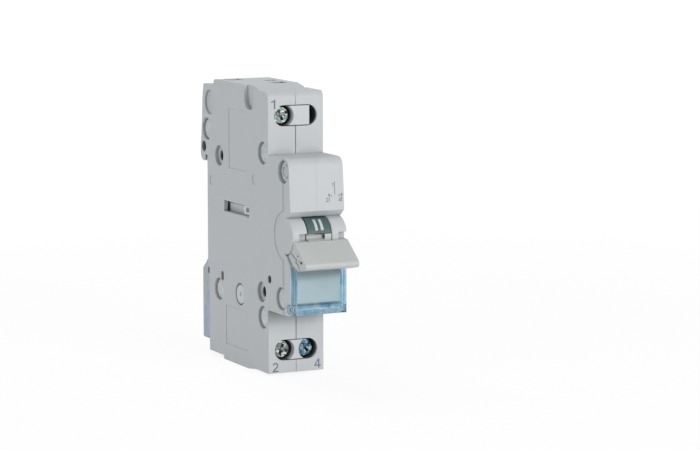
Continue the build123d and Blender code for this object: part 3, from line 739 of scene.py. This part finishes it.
@dataclass(frozen=True)
class ClearPlastic(Finish):
    """Clear tinted plastic, deeper in colour along its rails and foot, that lets light through."""

    colour: Colour
    edge_colour: Colour
    deep_colour: Colour
    pass_colour: Colour
    rail_x: Flat
    foot_z: float
    foot_edge: Flat = (-0.4 * MM, 0.6 * MM)
    streak_cells: float = 700.0
    streak_stretch: Point = (1.0, 1.0, 0.25)
    streak_edges: Flat = (0.3, 0.62)
    deep_cells: float = 330.0
    deep_edges: Flat = (0.52, 0.64)
    haze_cells: float = 160.0
    haze_depth: float = 0.002 * MM
    haze_spread: float = 0.05
    roughness: float = 0.05
    rounding: float = 0.15 * MM
    transmission: float = 0.94
    refraction: float = 1.49

    def edge_share(self, graph: Graph) -> Number:
        """Finds the rails and the foot, where the eye looks through more plastic.

        Args:
            graph: the material's graph.

        Returns:
            One along them, in streaks, and zero elsewhere.
        """
        rails = graph.place(Axis.X).beyond(*self.rail_x)
        foot = (self.foot_z - graph.place(Axis.Z)).ramp(*self.foot_edge)
        streak = graph.noise(self.streak_cells, FINE_DETAIL, self.streak_stretch)
        return (rails + foot).ramp(0.0, 1.0) * streak.ramp(*self.streak_edges)

    def build(self) -> bpy.types.Material:
        """Makes the material.

        Returns:
            The material.
        """
        graph = Graph.material(self.name)
        haze = graph.noise(self.haze_cells)
        edge = self.edge_share(graph)
        deep = edge * graph.noise(self.deep_cells, PLAIN_DETAIL).ramp(*self.deep_edges)
        tint = graph.blend(deep, graph.blend(edge, self.colour, self.edge_colour), self.deep_colour)
        body = graph.add("ShaderNodeBsdfPrincipled", {}, {
            "Base Color": tint,
            "Roughness": haze * self.haze_spread + self.roughness,
            "Transmission Weight": self.transmission,
            "IOR": self.refraction,
            "Normal": graph.relief(haze, self.haze_depth, self.rounding),
        })
        clear = graph.add("ShaderNodeBsdfTransparent", {}, {"Color": self.pass_colour})
        return graph.finish(graph.mix(graph.seen_by(Ray.SHADOW) + graph.seen_by(Ray.DIFFUSE), body, clear))


@dataclass(frozen=True)
class Ink(Finish):
    """Printed or hot-stamped mark."""

    colour: Colour
    wear_cells: float = 2600.0
    wear_power: float = 2.2
    pale_share: float = 0.8
    pale_lift: float = 0.1
    roughness: float = 0.45
    wear_spread: float = 0.2

    def build(self) -> bpy.types.Material:
        """Makes the material.

        Returns:
            The material.
        """
        graph = Graph.material(self.name)
        wear = graph.noise(self.wear_cells)
        pale = tuple(share * self.pale_share + self.pale_lift for share in self.colour)
        shader = graph.add("ShaderNodeBsdfPrincipled", {}, {
            "Base Color": graph.blend(wear ** self.wear_power, self.colour, pale),
            "Roughness": wear * self.wear_spread + self.roughness,
        })
        return graph.finish(shader)


CASE_PLASTIC = CasePlastic("case_plastic", srgb(203, 206, 207))
WEB_PLASTIC = MouldedPlastic("web_plastic", srgb(209, 212, 213), gap_reach=2.0 * MM, gap_shade=0.4)
LEVER_PLASTIC = LeverPlastic("lever_plastic", srgb(200, 203, 201), roughness=0.42, gap_reach=1.5 * MM,
                             gap_shade=0.3)
SLIDE_PLASTIC = SlidePlastic("slide_plastic", srgb(212, 216, 214), roughness=0.4, gap_reach=1.0 * MM)
KEY_PLASTIC = MouldedPlastic("key_plastic", srgb(250, 250, 250), roughness=0.4, gap_reach=0.5 * MM,
                             shade=0.0)
DRUM_PLASTIC = MouldedPlastic("drum_plastic", srgb(80, 102, 104), roughness=0.38)
CLEAR_BLUE = ClearPlastic("clear_blue_plastic", srgb(224, 235, 240), srgb(140, 200, 228),
                          srgb(88, 164, 204), srgb(242, 250, 253), rail_x=(6.6 * MM, 7.4 * MM),
                          foot_z=-18.8 * MM)
# the card's gap_shade sets the colour of the lever's painted shadow
CARD = LabelCard("label_card_paper", srgb(211, 215, 214), roughness=0.7, gap_shade=0.3)
# screw heads: plating tints with painted highlights and painted dark glints
SCREW_GREEN = ChromatedScrew("screw_green_zinc", srgb(234, 237, 234), srgb(126, 147, 142), roughness=0.22,
                             patch_cells=760.0, patch_edges=(0.4, 0.52), gap_shade=0.26)
SCREW_BLUE = ChromatedScrew("screw_blue_zinc", srgb(226, 238, 242), srgb(84, 142, 168), roughness=0.22,
                            patch_cells=700.0, patch_edges=(0.39, 0.5), gap_shade=0.22,
                            dark=srgb(34, 74, 96))
RIVET_METAL = RivetMetal("rivet_nickel", srgb(214, 218, 218), srgb(200, 206, 206), roughness=0.42,
                         metal=0.55, rounding=0.3 * MM)
RIVET_RING = PlatedMetal("rivet_ring_nickel", srgb(228, 231, 230), srgb(205, 210, 210), roughness=0.4,
                         metal=0.5, rounding=0.1 * MM)
CLIP_ZINC = ClipSheet("clip_zinc", srgb(176, 188, 202), srgb(160, 174, 190), roughness=0.34,
                      line_stretch=(1.0, 1.0, 0.2))
CAGE_ZINC = PlatedMetal("cage_zinc", srgb(200, 200, 190), srgb(160, 170, 175), roughness=0.35)
SPRING_STEEL = PlatedMetal("spring_steel", srgb(160, 160, 162), srgb(128, 128, 132), roughness=0.3)
COPPER = PlatedMetal("strip_copper", srgb(214, 150, 112), srgb(180, 116, 84), roughness=0.32)
SILVER = PlatedMetal("contact_silver", srgb(225, 223, 216), srgb(200, 198, 190), roughness=0.25)
NUMBER_INK = Ink("number_ink", srgb(108, 117, 133))
DIAGRAM_INK = Ink("diagram_ink", srgb(120, 124, 130))
MARK_INK = Ink("drum_mark_ink", srgb(206, 214, 212))


@dataclass
class Dressing:
    """Finish for every carried-over node."""

    finishes: dict[str, Finish] = field(default_factory=lambda: {
        "left_shell": CASE_PLASTIC, "right_shell": CASE_PLASTIC, "top_partition": WEB_PLASTIC,
        "bottom_partition": WEB_PLASTIC, "rivets": RIVET_METAL, "lever_body": LEVER_PLASTIC,
        "lever_cap": LEVER_PLASTIC, "position_drum": DRUM_PLASTIC, "lever_pin": SPRING_STEEL,
        "blade_pin": SPRING_STEEL, "detent_leaf": SPRING_STEEL, "clip_spring": SPRING_STEEL,
        "contact_slide": SLIDE_PLASTIC, "coupler_key": KEY_PLASTIC, "label_holder": CLEAR_BLUE,
        "label_card": CARD, "rail_clip": CLIP_ZINC, "common_strip": COPPER, "contact_strip_2": COPPER,
        "contact_strip_4": COPPER, "contact_blade": COPPER, "fixed_tip_2": SILVER, "fixed_tip_4": SILVER,
        "moving_tips": SILVER, "terminal_screw_1": SCREW_GREEN, "terminal_screw_2": SCREW_GREEN,
        "terminal_screw_4": SCREW_BLUE, "clamp_cage_1": CAGE_ZINC, "clamp_cage_2": CAGE_ZINC,
        "clamp_cage_4": CAGE_ZINC,
    })

    def dress(self) -> None:
        """Gives every node its material."""
        made: dict[str, bpy.types.Material] = {}
        for node, finish in self.finishes.items():
            if finish.name not in made:
                made[finish.name] = finish.build()
            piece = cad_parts[node]
            piece.data.materials.clear()
            piece.data.materials.append(made[finish.name])
        LOG.info("dressed %d nodes in %d finishes", len(self.finishes), len(made))


def report(piece: bpy.types.Object, body: str) -> bpy.types.Object:
    """Fixes a finished piece to its body.

    Args:
        piece: the new object, in place.
        body: the CAD body that carries it.

    Returns:
        The same piece.
    """
    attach(piece, body)
    LOG.info("piece %s rides on %s", piece.name, body)
    return piece


def new_piece(name: str, mesh: bmesh.types.BMesh, material: bpy.types.Material) -> bpy.types.Object:
    """Turns a finished bmesh into an object of the scene.

    Args:
        name: the piece's name.
        mesh: its shape, which is freed.
        material: its material.

    Returns:
        The new object.
    """
    bmesh.ops.recalc_face_normals(mesh, faces=mesh.faces)
    data = bpy.data.meshes.new(name)
    mesh.to_mesh(data)
    mesh.free()
    data.materials.append(material)
    piece = bpy.data.objects.new(name, data)
    bpy.context.scene.collection.objects.link(piece)
    return piece


def bridge(mesh: bmesh.types.BMesh, first: Ring, second: Ring) -> None:
    """Joins two closed rings of vertices with a strip of faces.

    Args:
        mesh: the shape that holds them.
        first: the vertices of one ring in order.
        second: the vertices of the other ring in the same order.
    """
    for index in range(len(first)):
        after = (index + 1) % len(first)
        mesh.faces.new((first[index], first[after], second[after], second[index]))


@dataclass(frozen=True)
class Glyphs:
    """Outlines of the plain signs, on a field one unit high; each is made of closed (x, z) outlines."""

    one: tuple[tuple[Flat, ...], ...] = (
        ((0.38, 0.0), (0.56, 0.0), (0.56, 1.0), (0.44, 1.0), (0.34, 0.86), (0.06, 0.8), (0.06, 0.68),
         (0.38, 0.72)),
    )
    four: tuple[tuple[Flat, ...], ...] = (
        ((0.44, 0.0), (0.58, 0.0), (0.58, 1.0), (0.44, 1.0)),
        ((0.0, 0.22), (0.44, 0.22), (0.44, 0.35), (0.0, 0.35)),
        ((0.58, 0.22), (0.74, 0.22), (0.74, 0.35), (0.58, 0.35)),
        ((0.0, 0.35), (0.14, 0.35), (0.44, 0.8), (0.44, 1.0)),
    )
    stroke: float = 0.14
    bowl_middle: Flat = (0.32, 0.68)
    bowl_radius: float = 0.32
    bowl_start: float = 170.0
    bowl_sweep: float = 220.0
    bowl_steps: int = 10
    stem_foot: float = 0.2
    foot_width: float = 0.66

    def bar(self, x: float, low: float, high: float, width: float) -> Outline:
        """Upright bar."""
        return [(x - width / 2, low), (x + width / 2, low), (x + width / 2, high), (x - width / 2, high)]

    def arrow(self, x: float, tip: float, size: float) -> Outline:
        """Filled arrow head that points up."""
        return [(x - size / 2, tip - size), (x + size / 2, tip - size), (x, tip)]

    def bowl(self, radius: float) -> Outline:
        """Works out one edge of the bowl of the figure 2.

        Args:
            radius: the edge's radius.

        Returns:
            Its points from the open end to the stem.
        """
        angles = [math.radians(self.bowl_start - self.bowl_sweep * step / self.bowl_steps)
                  for step in range(self.bowl_steps + 1)]
        return [(self.bowl_middle[0] + radius * math.cos(angle),
                 self.bowl_middle[1] + radius * math.sin(angle)) for angle in angles]

    def two(self) -> list[Outline]:
        """Draws the figure 2.

        Returns:
            A bowl in short pieces, a slanting stem and a foot.
        """
        outer, inner = self.bowl(self.bowl_radius), self.bowl(self.bowl_radius - self.stroke)
        outlines = [[outer[step], outer[step + 1], inner[step + 1], inner[step]]
                    for step in range(self.bowl_steps)]
        outlines.append([outer[-1], (self.stem_foot, self.stroke), (0.0, self.stroke), inner[-1]])
        outlines.append([(0.0, 0.0), (self.foot_width, 0.0), (self.foot_width, self.stroke),
                         (0.0, self.stroke)])
        return outlines


@dataclass(frozen=True)
class FrontFace:
    """Front face of the case whose depth changes with the height, as (z, y) points in millimetres."""

    points: tuple[Flat, ...]

    def depth(self, z: float) -> float:
        """Works out the face's depth, by a parabola where there are three points.

        Args:
            z: height in millimetres.

        Returns:
            The depth in metres.
        """
        total = 0.0
        for here, y in self.points:
            share = 1.0
            for other, _ in self.points:
                if other != here:
                    share *= (z - other) / (here - other)
            total += share * y
        return total * MM


TERMINAL_FACE = FrontFace(((0.0, -44.0),))
NOSE_FACE = FrontFace(((19.9, -57.5), (13.9, -58.1), (7.55, -58.45)))


@dataclass
class Print:
    """Flat signs printed on a front face, as one piece."""

    name: str
    finish: Ink
    surface: FrontFace
    proud: float = 0.03 * MM
    outlines: list[Outline] = field(default_factory=list)

    def sign(self, shapes: Sequence[Sequence[Flat]], corner: Flat, height: float) -> None:
        """Adds a sign of that height, in millimetres, with its lower left corner at a place."""
        for shape in shapes:
            self.outlines.append([(corner[0] + x * height, corner[1] + z * height) for x, z in shape])

    def build(self) -> bpy.types.Object:
        """Makes the piece.

        Returns:
            The new object, fixed to the case.
        """
        mesh = bmesh.new()
        for outline in self.outlines:
            under, over = ([mesh.verts.new((x * MM, self.surface.depth(z) + lift, z * MM))
                            for x, z in outline] for lift in (-self.proud, self.proud))
            mesh.faces.new(under)
            mesh.faces.new(over)
            bridge(mesh, under, over)
        return report(new_piece(self.name, mesh, self.finish.build()), "case")


@dataclass
class Signs:
    """The plain terminal numbers and the generic contact diagram, in millimetres."""

    glyphs: Glyphs = Glyphs()
    number_height: float = 2.75
    one_corner: Flat = (-7.9, 35.65)
    two_corner: Flat = (-7.5, -40.85)
    four_corner: Flat = (5.85, -40.6)
    common_bar: Bar = (5.66, 11.98, 15.68, 0.2)
    common_corner: Flat = (4.75, 14.35)
    common_height: float = 0.95
    contact_x: Flat = (3.86, 7.81)
    contact_bar: Point = (9.95, 11.7, 0.18)
    contact_corners: tuple[Flat, Flat] = ((2.8, 9.95), (6.8, 9.85))
    contact_height: float = 1.15
    arrow_tip: float = 12.4
    arrow_size: float = 0.72
    ticks: tuple[Bar, ...] = ((4.64, 11.3, 11.85, 0.14), (6.88, 11.4, 11.95, 0.13), (7.14, 11.4, 11.95, 0.13))

    def numbers(self) -> None:
        """Prints the terminal numbers beside the screws."""
        for name, shapes, corner in (("number_1", self.glyphs.one, self.one_corner),
                                     ("number_2", self.glyphs.two(), self.two_corner),
                                     ("number_4", self.glyphs.four, self.four_corner)):
            page = Print(name, NUMBER_INK, TERMINAL_FACE)
            page.sign(shapes, corner, self.number_height)
            page.build()

    def diagram(self) -> None:
        """Prints the common contact above and the two switched contacts below it."""
        page = Print("contact_diagram", DIAGRAM_INK, NOSE_FACE)
        page.outlines.append(self.glyphs.bar(*self.common_bar))
        page.sign(self.glyphs.one, self.common_corner, self.common_height)
        digits = (self.glyphs.two(), self.glyphs.four)
        for x, digit, corner in zip(self.contact_x, digits, self.contact_corners):
            page.outlines.append(self.glyphs.bar(x, *self.contact_bar))
            page.outlines.append(self.glyphs.arrow(x, self.arrow_tip, self.arrow_size))
            page.sign(digit, corner, self.contact_height)
        for tick in self.ticks:
            page.outlines.append(self.glyphs.bar(*tick))
        page.build()

    def build(self) -> None:
        """Prints everything."""
        self.numbers()
        self.diagram()


@dataclass
class RivetRings:
    """Raised rings that the closing tool leaves on each rivet head, as (radius, width) in millimetres."""

    places: tuple[Flat, ...] = ((0.15, 26.2), (-40.3, 22.75), (-54.15, 18.7), (-8.3, -21.2), (-52.7, -17.9),
                                (-40.1, -25.15))
    face_x: float = 8.15
    rim: Flat = (1.75, 0.5)
    centre: Flat = (0.55, 0.3)
    flush_place: Flat = (-23.8, -20.65)
    flush_face_x: float = 8.65
    flush_rim: Flat = (1.15, 0.6)
    height: float = 0.09
    steps: int = 28

    def ring(self, mesh: bmesh.types.BMesh, place: Flat, x: float, sizes: Flat) -> None:
        """Adds a ring with a triangular section around a rivet's axis, at both sides of the case.

        Args:
            mesh: the shape that takes the ring.
            place: the rivet's axis, as y and z.
            x: distance of the head's face from the middle.
            sizes: the ring's radius and width.
        """
        radius, width = sizes
        section = ((0.0, -width / 2), (self.height, 0.0), (0.0, width / 2))
        for side in (-1, 1):
            rows = []
            for index in range(self.steps):
                angle = 2 * math.pi * index / self.steps
                rows.append([mesh.verts.new((side * (x + lift) * MM,
                                             (place[0] + (radius + off) * math.cos(angle)) * MM,
                                             (place[1] + (radius + off) * math.sin(angle)) * MM))
                             for lift, off in section])
            for index, row in enumerate(rows):
                bridge(mesh, row, rows[(index + 1) % self.steps])

    def build(self) -> None:
        """Makes all rings as one piece."""
        mesh = bmesh.new()
        for place in self.places:
            self.ring(mesh, place, self.face_x, self.rim)
            self.ring(mesh, place, self.face_x, self.centre)
        self.ring(mesh, self.flush_place, self.flush_face_x, self.flush_rim)
        report(new_piece("rivet_rings", mesh, RIVET_RING.build()), "case")


@dataclass
class DrumMarks:
    """Bars on the drum, as (x in millimetres, first angle, last angle): two for II and one for I."""

    axis: Flat = (-55.0 * MM, 0.4 * MM)
    radius: float = 5.2 * MM
    proud: float = 0.025 * MM
    half_bar: float = 0.42 * MM
    bars: tuple[Point, ...] = ((-0.8, 20.0, 62.0), (0.95, 20.0, 62.0), (0.05, 239.0, 281.0))
    section: tuple[tuple[int, int], ...] = ((-1, -1), (-1, 1), (1, 1), (1, -1))
    steps: int = 14

    def row(self, mesh: bmesh.types.BMesh, middle: float, angle: float) -> Ring:
        """Adds the four corners of a bar's section.

        Args:
            mesh: the shape that takes them.
            middle: the bar's place along x in millimetres.
            angle: angle above the forward direction in degrees.

        Returns:
            The corners in order.
        """
        turn = math.radians(angle)
        corners = []
        for lift, side in self.section:
            radius = self.radius + lift * self.proud
            corners.append(mesh.verts.new((middle * MM + side * self.half_bar,
                                           self.axis[0] - radius * math.cos(turn),
                                           self.axis[1] + radius * math.sin(turn))))
        return corners

    def build(self) -> None:
        """Makes the marks as one curved mesh."""
        mesh = bmesh.new()
        for middle, low, high in self.bars:
            rows = [self.row(mesh, middle, low + (high - low) * index / self.steps)
                    for index in range(self.steps + 1)]
            for first, second in zip(rows, rows[1:]):
                bridge(mesh, first, second)
            mesh.faces.new(rows[0])
            mesh.faces.new(rows[-1])
        report(new_piece("drum_marks", mesh, MARK_INK.build()), "lever")


@dataclass(frozen=True)
class Lamp:
    """Square area lamp that looks at the object."""

    name: str
    place: Point
    size: float
    watts: float
    tint: Colour
    target: Point = (0.0, -0.03, 0.0)

    def hang(self) -> None:
        """Adds the lamp to the scene."""
        data = bpy.data.lights.new(self.name, "AREA")
        data.shape = "SQUARE"
        data.size = self.size
        data.energy = self.watts
        data.color = self.tint
        lamp = bpy.data.objects.new(self.name, data)
        lamp.location = self.place
        aim = Vector(self.target) - Vector(self.place)
        lamp.rotation_euler = aim.to_track_quat("-Z", "Y").to_euler()
        bpy.context.scene.collection.objects.link(lamp)


@dataclass
class Studio:
    """Camera, floor, world and lamps."""

    eye: Point = (-351.64 * MM, -800.96 * MM, 112.83 * MM)
    azimuth: float = math.radians(-26.131)
    elevation: float = math.radians(7.567)
    sensor: float = 36.0
    lens: float = 149.88
    shift: Flat = (-0.01003, -0.00086)
    clip_start: float = 0.05
    white: Colour = (1.0, 1.0, 1.0)
    floor_z: float = -41.95 * MM
    floor_reach: float = 3.0
    floor_colour: Colour = (0.9, 0.9, 0.9)
    floor_glow: float = 1.04
    near_glow: float = 0.85
    glow_edges: Flat = (0.15, 0.5)
    glossy_glow: float = 0.4
    clear_glow: float = 0.85
    room_colour: Colour = (0.95, 0.97, 1.0)
    room_light: float = 0.45
    card_cells: float = 3.5
    card_edges: Flat = (0.46, 0.56)
    lamps: tuple[Lamp, ...] = (
        Lamp("key_lamp", (0.2, -0.98, 0.28), 0.5, 4.05, (1.0, 0.995, 0.98)),
        Lamp("side_lamp", (-0.8, -0.3, 0.35), 0.6, 1.08, (0.94, 0.97, 1.0)),
        Lamp("top_lamp", (-0.1, 0.6, 0.85), 0.6, 2.9, (0.97, 0.98, 1.0)),
    )

    def camera(self) -> None:
        """Sets the photograph's viewing angle."""
        data = bpy.data.cameras.new("camera")
        data.sensor_width = self.sensor
        data.lens = self.lens
        data.shift_x, data.shift_y = self.shift
        data.clip_start = self.clip_start
        eye = bpy.data.objects.new("camera", data)
        right = Vector((math.cos(self.azimuth), math.sin(self.azimuth), 0))
        back = Vector((math.sin(self.azimuth) * math.cos(self.elevation),
                       -math.cos(self.azimuth) * math.cos(self.elevation), math.sin(self.elevation)))
        turn = Matrix((right, back.cross(right), back)).transposed().to_4x4()
        eye.matrix_world = Matrix.Translation(self.eye) @ turn
        bpy.context.scene.collection.objects.link(eye)
        bpy.context.scene.camera = eye

    def floor_finish(self) -> bpy.types.Material:
        """Makes the floor's material, which looks white and keeps the object's shadow.

        Returns:
            The material.
        """
        graph = Graph.material("studio_floor")
        soft = graph.add("ShaderNodeBsdfDiffuse", {}, {"Color": self.floor_colour})
        glow = graph.add("ShaderNodeEmission", {}, {"Color": self.white, "Strength": self.floor_glow})
        across, along = graph.place(Axis.X), graph.place(Axis.Y)
        near, far = self.glow_edges
        fade = (across * across + along * along).ramp(near ** 2, far ** 2).lifted(self.near_glow)
        seen = graph.seen_by(Ray.CAMERA) * fade + graph.seen_by(Ray.GLOSSY) * self.glossy_glow
        seen = seen + graph.seen_by(Ray.TRANSMISSION) * self.clear_glow
        return graph.finish(graph.mix(seen, soft, glow))

    def floor(self) -> None:
        """Lays the floor."""
        reach = self.floor_reach
        data = bpy.data.meshes.new("floor")
        data.from_pydata([(-reach, -reach, self.floor_z), (reach, -reach, self.floor_z),
                          (reach, reach, self.floor_z), (-reach, reach, self.floor_z)], [], [(0, 1, 2, 3)])
        data.materials.append(self.floor_finish())
        floor = bpy.data.objects.new("floor", data)
        bpy.context.scene.collection.objects.link(floor)
        floor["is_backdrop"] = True

    def world(self) -> None:
        """Fills the room with even light and shows white to the camera."""
        world = bpy.data.worlds.new("studio")
        bpy.context.scene.world = world
        graph = Graph(world)
        room = graph.add("ShaderNodeBackground", {}, {"Color": self.room_colour, "Strength": self.room_light})
        white = graph.add("ShaderNodeBackground", {}, {"Color": self.white, "Strength": 1.0})
        cards = graph.noise(self.card_cells, space=Space.GENERATED).ramp(*self.card_edges)
        seen = graph.seen_by(Ray.CAMERA) + graph.seen_by(Ray.TRANSMISSION)
        seen = seen + graph.seen_by(Ray.GLOSSY) * cards
        graph.finish(graph.mix(seen, room, white), "ShaderNodeOutputWorld")

    def build(self) -> None:
        """Sets up the whole studio."""
        self.camera()
        self.floor()
        self.world()
        for lamp in self.lamps:
            lamp.hang()
        bpy.context.scene.view_settings.view_transform = "Standard"
        LOG.info("studio ready")


def corners() -> list[list[float]]:
    """Box of the whole object as plain numbers."""
    return [list(corner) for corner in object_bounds()]


def main() -> None:
    """Builds the looks of the switch in order."""
    logging.basicConfig(level=logging.INFO, format="%(name)s: %(message)s")
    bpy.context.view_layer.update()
    Studio().build()
    Dressing().dress()
    Signs().build()
    RivetRings().build()
    DrumMarks().build()


if __name__ == "__main__":
    main()
